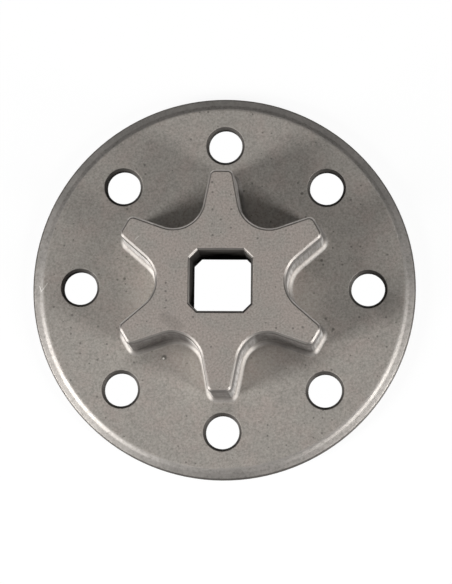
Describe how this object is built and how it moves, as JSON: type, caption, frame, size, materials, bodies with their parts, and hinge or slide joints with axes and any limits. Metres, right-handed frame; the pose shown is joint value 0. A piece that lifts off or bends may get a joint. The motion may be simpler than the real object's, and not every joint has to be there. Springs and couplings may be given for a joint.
{
  "type": "chainsaw sprocket",
  "caption": "Spur drive sprocket for a chainsaw: a toothed star standing on a round holed guard plate with a stepped rim, driven through a square bore.",
  "frame": {"origin": "on the shaft axis at the plate's flat back face", "axes": "+Z along the shaft axis from the back face towards the star's top face, +Y through the middle of one tooth"},
  "size_m": [0.0512, 0.0512, 0.0112],
  "materials": {
    "sintered_steel": "as-sintered warm grey steel, satin, finely grained, with polished edges"
  },
  "bodies": {
    "root": {"sprocket": "sintered_steel"}
  },
  "joints": []
}
